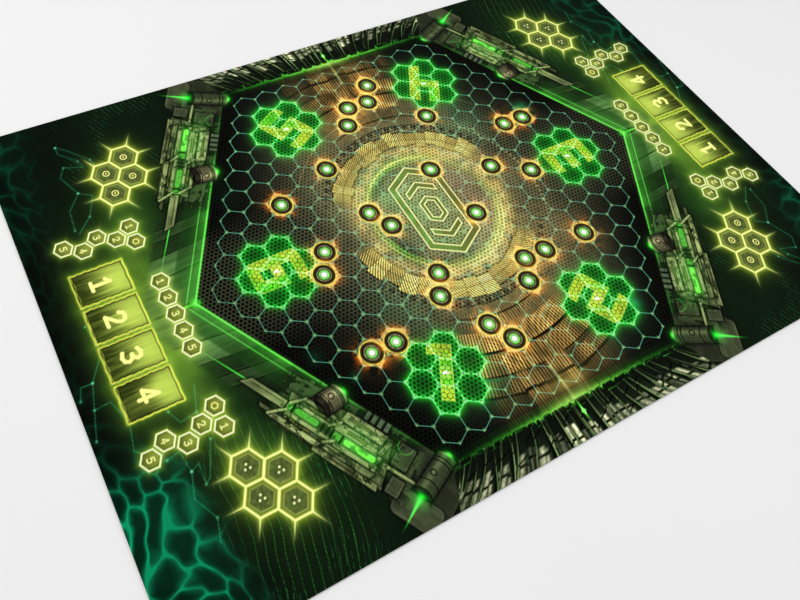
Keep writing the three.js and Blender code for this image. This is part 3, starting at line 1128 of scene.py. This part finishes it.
def print_material():
    n = Nodes("dyed_cloth")
    place = n.add("TexCoord").outputs["Object"]
    ink = n.add("Attribute", attribute_name="ink").outputs["Color"]
    marks = n.add("Attribute", attribute_name="marks")
    comb, grid, flower = n.add("SeparateColor", {0: marks.outputs["Color"]}).outputs
    flat = n.vector("MULTIPLY", n.vector("SUBTRACT", place, ART_ORIGIN + (0.0,)), (1 / CELL, 1 / CELL, 0.0))

    # fine mesh: light threads over dark holes
    _, _, rim_fine = hexagons(n, n.vector("MULTIPLY", flat, (MESH_CELLS,) * 3))
    thread_fine = n.ramp(rim_fine, 0.2, 0.07)
    hole = n.times(n.math("SUBTRACT", 1.0, thread_fine), comb)
    hole = n.times(hole, n.times_plus(flower, 0.2, 0.56))
    ink = n.mix(hole, ink, (0.0, 0.004, 0.0, 1.0))
    light = n.times(thread_fine, comb)
    colour = n.mix(flower, display(168, 170, 132), display(50, 210, 60))
    ink = n.mix(n.times(light, n.times_plus(flower, 0.05, 0.14)), ink, colour, "SCREEN")

    # grid of cells with a bright spot on every corner
    across, along, rim_cell = hexagons(n, flat)
    wire = n.times(n.ramp(rim_cell, 0.024, 0.005), grid)
    ink = n.mix(n.times(wire, 0.8), ink, display(90, 176, 144), "SCREEN")
    offset = n.add("CombineXYZ", {0: across, 1: along}).outputs[0]
    side = n.vector("LENGTH", n.vector("SUBTRACT", offset, (0.5, ROW / 3, 0.0)))
    point = n.vector("LENGTH", n.vector("SUBTRACT", offset, (0.0, 2 * ROW / 3, 0.0)))
    spot = n.times(n.ramp(n.math("MINIMUM", side, point), 0.11, 0.0), grid)
    ink = n.mix(n.times(spot, 0.6), ink, display(150, 214, 120), "SCREEN")

    # the cut edge shows undyed yarn
    upward = n.split(n.add("NewGeometry").outputs["Normal"])[2]
    cut = n.ramp(upward, 0.75, 0.35)
    fluff = n.noise(place, YARN)
    ink = n.mix(cut, ink, n.mix(fluff, display(60, 64, 58), display(150, 152, 142)))

    # knit: slightly darker between the loops, a painted shade where the yarn dips, and a faint slub
    knit = cloth(n, place)
    slub = n.noise(n.vector("MULTIPLY", place, (40.0, 900.0, 1.0)), 1.0, 3.0)
    tone = n.plus(n.times(knit, 0.14), n.times(slub, 0.1))
    tone = n.plus(tone, 0.88)
    shade = n.add("CombineColor", {0: tone, 1: tone, 2: tone}).outputs[0]
    ink = n.mix(1.0, ink, shade, "MULTIPLY")
    n.shader.inputs["Specular IOR Level"].default_value = 0.02
    rough = n.ramp(n.plus(knit, slub), 0.2, 1.8, 0.86, 0.72)
    return n.finish(ink, rough, n.times_plus(slub, 0.4, knit), KNIT_DEPTH, 0.8)


def rubber_material():
    n = Nodes("foamed_rubber")
    place = n.add("TexCoord").outputs["Object"]
    normal = n.split(n.add("NewGeometry").outputs["Normal"])[2]
    cells = n.add("TexVoronoi", {"Vector": place, "Scale": PORES}, feature="F1").outputs["Distance"]
    pores = n.ramp(cells, 0.15, 0.5)
    broad = n.noise(place, 30.0, 4.0)
    # the underside is moulded in a fine diagonal waffle
    x, y, _ = n.split(place)
    a = n.math("SINE", n.times(n.plus(x, y), 2 * math.pi / WAFFLE))
    b = n.math("SINE", n.times(n.math("SUBTRACT", x, y), 2 * math.pi / WAFFLE))
    waffle = n.ramp(n.times(a, b), -0.3, 0.5)
    under = n.math("LESS_THAN", normal, -0.5)
    dust = n.noise(place, DUST, 3.0)
    colour = n.mix(broad, display(24, 25, 26), display(40, 41, 41))
    # the pores are darkened: painted shade in the foam's open holes
    colour = n.mix(n.times(n.math("SUBTRACT", 1.0, pores), 0.5), colour, display(10, 10, 10))
    colour = n.mix(n.ramp(dust, 0.56, 0.75, 0.0, 0.16), colour, display(120, 118, 112))
    n.shader.inputs["Specular IOR Level"].default_value = 0.3
    height = n.plus(n.times(waffle, under), n.times(pores, 0.3))
    return n.finish(colour, n.ramp(broad, 0.3, 0.7, 0.78, 0.92), height, WAFFLE_DEPTH, 0.9)


def film_material():
    n = Nodes("bonding_adhesive")
    place = n.add("TexCoord").outputs["Object"]
    ripple = n.noise(n.vector("MULTIPLY", place, (1.0, 1.0, 6.0)), RIPPLES, 3.0)
    colour = n.mix(ripple, display(52, 52, 46), display(96, 95, 84))
    return n.finish(colour, n.ramp(ripple, 0.3, 0.7, 0.32, 0.55), ripple, RIPPLE_DEPTH, 0.6)


def floor_material():
    n = Nodes("plain_floor")
    place = n.add("TexCoord").outputs["Object"]
    paint = n.mix(n.noise(place, 1.5), display(222, 222, 222), display(228, 228, 228))
    n.put(n.shader.inputs["Base Color"], paint)
    n.shader.inputs["Roughness"].default_value = 0.9
    return n.material


# ---- pieces ----

CORNER = 0.005              # corner radius of the mat
SOFT_EDGE = 0.00012         # rounding of the cut cloth
GRID_X, GRID_Y = 914, 610   # squares of the printed surface, about a millimetre each
RIM_PITCH = 0.002           # between points along the rubber's cut side
CORNER_STEPS, CORNER_TURN = 7, 15       # points round a corner and the degrees between them
# The rubber's cut side: height, how far it lies inside the outline and how much that varies, in metres.
CUT_SIDE = ((0.0, 0.00022, 0.00003), (0.0002, 0.00005, 0.00005), (0.0005, 0.00008, 0.00007),
            (0.0008, 0.0001, 0.00007), (0.0011, 0.00008, 0.00007), (0.0014, 0.00004, 0.00004),
            (0.0015, 0.00008, 0.00003))


def mesh_object(name, points, faces, material):
    mesh = bpy.data.meshes.new(name)
    mesh.from_pydata(points, [], faces)
    mesh.update()
    mesh.materials.append(material)
    obj = bpy.data.objects.new(name, mesh)
    bpy.context.collection.objects.link(obj)
    return obj


def grid_faces(wide, tall):
    """Squares over rows of points, wide points to a row."""
    row = np.arange(wide - 1)[None, :] + np.arange(tall - 1)[:, None] * wide
    return np.stack([row, row + 1, row + wide + 1, row + wide], -1).reshape(-1, 4)


def round_corners(x, y, half_x, half_y, radius):
    """Squeezes each corner's square of points into the quarter disc."""
    ox = np.maximum(np.abs(x) - (half_x - radius), 0)
    oy = np.maximum(np.abs(y) - (half_y - radius), 0)
    size = np.maximum(np.hypot(ox, oy), 1e-12)
    scale = np.where((ox > 0) & (oy > 0), np.maximum(ox, oy) / size, 1.0)
    nx = np.where(ox > 0, half_x - radius + ox * scale, np.abs(x))
    ny = np.where(oy > 0, half_y - radius + oy * scale, np.abs(y))
    return np.copysign(nx, x), np.copysign(ny, y)


def border(wide, tall):
    """Indices of the outermost points of a grid, anticlockwise."""
    low = np.arange(wide)
    right = np.arange(1, tall) * wide + wide - 1
    high = np.arange(wide - 2, -1, -1) + (tall - 1) * wide
    left = np.arange(tall - 2, 0, -1) * wide
    return np.concatenate([low, right, high, left])


def printed_face(material):
    low, high = (Vector(k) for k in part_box("printed_face"))
    half_x, half_y = (high.x - low.x) / 2, (high.y - low.y) / 2
    mid = (high + low) / 2
    wide, tall = GRID_X + 1, GRID_Y + 1
    xs = np.linspace(-half_x, half_x, wide)
    ys = np.linspace(-half_y, half_y, tall)
    canvas = Canvas(((xs + mid.x - ART_ORIGIN[0]) / CELL).astype(np.float32),
                    ((ys + mid.y - ART_ORIGIN[1]) / CELL).astype(np.float32))
    for job in (ground, wires, field, rim, stations, flowers, tokens, crisp):
        job(canvas)

    gx, gy = (k.ravel() for k in np.meshgrid(xs, ys))
    x, y = round_corners(gx, gy, half_x, half_y, CORNER)
    edge = border(wide, tall)
    rim_x, rim_y = x[edge], y[edge]
    top = np.stack([x, y, np.full(x.shape, high.z)], -1)
    top[edge, 0] *= 1 - SOFT_EDGE / half_x
    top[edge, 1] *= 1 - SOFT_EDGE / half_y
    rings = [np.stack([rim_x, rim_y, np.full(rim_x.shape, z)], -1) for z in (high.z - SOFT_EDGE, low.z)]
    points = np.concatenate([top] + rings)
    points[:, 0] += mid.x
    points[:, 1] += mid.y
    count, n = len(top), len(edge)
    first = np.arange(n)
    after = (first + 1) % n
    faces = [grid_faces(wide, tall)]
    faces.append(np.stack([edge[first], count + first, count + after, edge[after]], -1))
    faces.append(np.stack([count + first, count + n + first, count + n + after, count + after], -1))
    faces = np.concatenate(faces)
    mesh = bpy.data.meshes.new("printed_cloth")
    loops = len(faces) * 4 + n
    mesh.vertices.add(len(points))
    mesh.vertices.foreach_set("co", points.astype(np.float32).ravel())
    mesh.loops.add(loops)
    bottom = (count + n + first)[::-1]
    mesh.loops.foreach_set("vertex_index", np.concatenate([faces.ravel(), bottom]).astype(np.int32))
    mesh.polygons.add(len(faces) + 1)
    mesh.polygons.foreach_set("loop_start", (np.arange(len(faces) + 1) * 4).astype(np.int32))
    mesh.update(calc_edges=True)
    mesh.validate()

    ink = np.ones((len(points), 4), np.float32)
    marks = np.ones((len(points), 4), np.float32)
    rgb = canvas.rgb.reshape(-1, 3)
    open_cells = 1 - canvas.marks["token"]
    comb, grid = canvas.marks["comb"] * open_cells, canvas.marks["grid"] * open_cells
    mark = np.stack([comb, grid, canvas.marks["flower"]], -1)
    for store, value in ((ink, rgb), (marks, mark.reshape(-1, 3))):
        store[:count, :3] = value
        for k in (0, 1):
            store[count + k * n:count + (k + 1) * n, :3] = value[edge]
    layer = mesh.attributes.new("ink", "BYTE_COLOR", "POINT")
    layer.data.foreach_set("color_srgb", ink.ravel())
    layer = mesh.attributes.new("marks", "FLOAT_COLOR", "POINT")
    layer.data.foreach_set("color", marks.ravel())
    mesh.materials.append(material)
    obj = bpy.data.objects.new("printed_cloth", mesh)
    bpy.context.collection.objects.link(obj)
    return obj


def outline(half_x, half_y, radius, pitch):
    """Points round a rounded rectangle, anticlockwise, with the outward direction of each."""
    points, outward = [], []
    corners = ((1, -1, -90), (1, 1, 0), (-1, 1, 90), (-1, -1, 180))
    for k, (sx, sy, start) in enumerate(corners):
        cx, cy = sx * (half_x - radius), sy * (half_y - radius)
        for j in range(CORNER_STEPS):
            t = math.radians(start + CORNER_TURN * j)
            points.append((cx + radius * math.cos(t), cy + radius * math.sin(t)))
            outward.append((math.cos(t), math.sin(t)))
        nx, ny, _ = corners[(k + 1) % 4]
        t = math.radians(start + 90)
        a = Vector(points[-1])
        turn = Vector((math.cos(t), math.sin(t)))
        b = Vector((nx * (half_x - radius), ny * (half_y - radius))) + radius * turn
        count = max(1, round((b - a).length / pitch))
        for j in range(1, count):
            points.append(tuple(a.lerp(b, j / count)))
            outward.append(tuple(turn))
    return np.array(points), np.array(outward)


def rubber_sheet(material):
    """The sponge sheet, its cut side a little uneven."""
    low, high = (Vector(k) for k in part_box("rubber_base"))
    mid = (low + high) / 2
    plan, outward = outline((high.x - low.x) / 2, (high.y - low.y) / 2, CORNER, RIM_PITCH)
    draw = np.random.default_rng(7)
    n = len(plan)
    rings = []
    for z, inset, rough in CUT_SIDE:
        move = inset + rough * draw.random(n)
        place = plan - outward * move[:, None] + (mid.x, mid.y)
        rings.append(np.column_stack([place, np.full(n, low.z + z)]))
    points = np.concatenate(rings)
    first = np.arange(n)
    after = (first + 1) % n
    faces = []
    for k in range(len(rings) - 1):
        here, above = k * n, (k + 1) * n
        faces += np.stack([here + first, here + after, above + after, above + first], -1).tolist()
    faces.append(list(range(n))[::-1])
    faces.append([(len(rings) - 1) * n + k for k in range(n)])
    return mesh_object("rubber_sheet", points.tolist(), faces, material)


# ---- the model ----

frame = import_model()
scene = bpy.context.scene
top_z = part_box("printed_face")[1][2]
aim_camera(top_z)

face = printed_face(print_material())
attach(face, "root")
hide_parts("printed_face")

base = rubber_sheet(rubber_material())
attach(base, "root")
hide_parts("rubber_base")

film = frame["nodes"]["bonding_film"]
film_look = film_material()
for k in range(max(1, len(film.material_slots))):
    film.material_slots[k].material = film_look

# ---- floor and light ----

FLOOR_SIZE = 12.0
SKY = 0.72
# Soft lamps: name, place in metres, side of the square in metres, watts.
LAMPS = (("key", (-0.9, 0.9, 2.2), 1.6, 26.0), ("fill", (1.4, -0.8, 1.8), 1.6, 10.0))

bpy.ops.mesh.primitive_plane_add(size=FLOOR_SIZE, location=(0, 0, 0))
floor = bpy.context.object
floor.name = "floor"
floor.data.materials.append(floor_material())

world = bpy.data.worlds.new("studio")
world.use_nodes = True
world.node_tree.nodes["Background"].inputs[0].default_value = (1, 1, 1, 1)
world.node_tree.nodes["Background"].inputs[1].default_value = SKY
scene.world = world
for name, place, size, power in LAMPS:
    data = bpy.data.lights.new(name, "AREA")
    data.size, data.energy = size, power
    light = bpy.data.objects.new(name, data)
    scene.collection.objects.link(light)
    light.location = place
    light.rotation_euler = (-Vector(place)).to_track_quat("-Z", "Y").to_euler()
scene.view_settings.view_transform = "Standard"
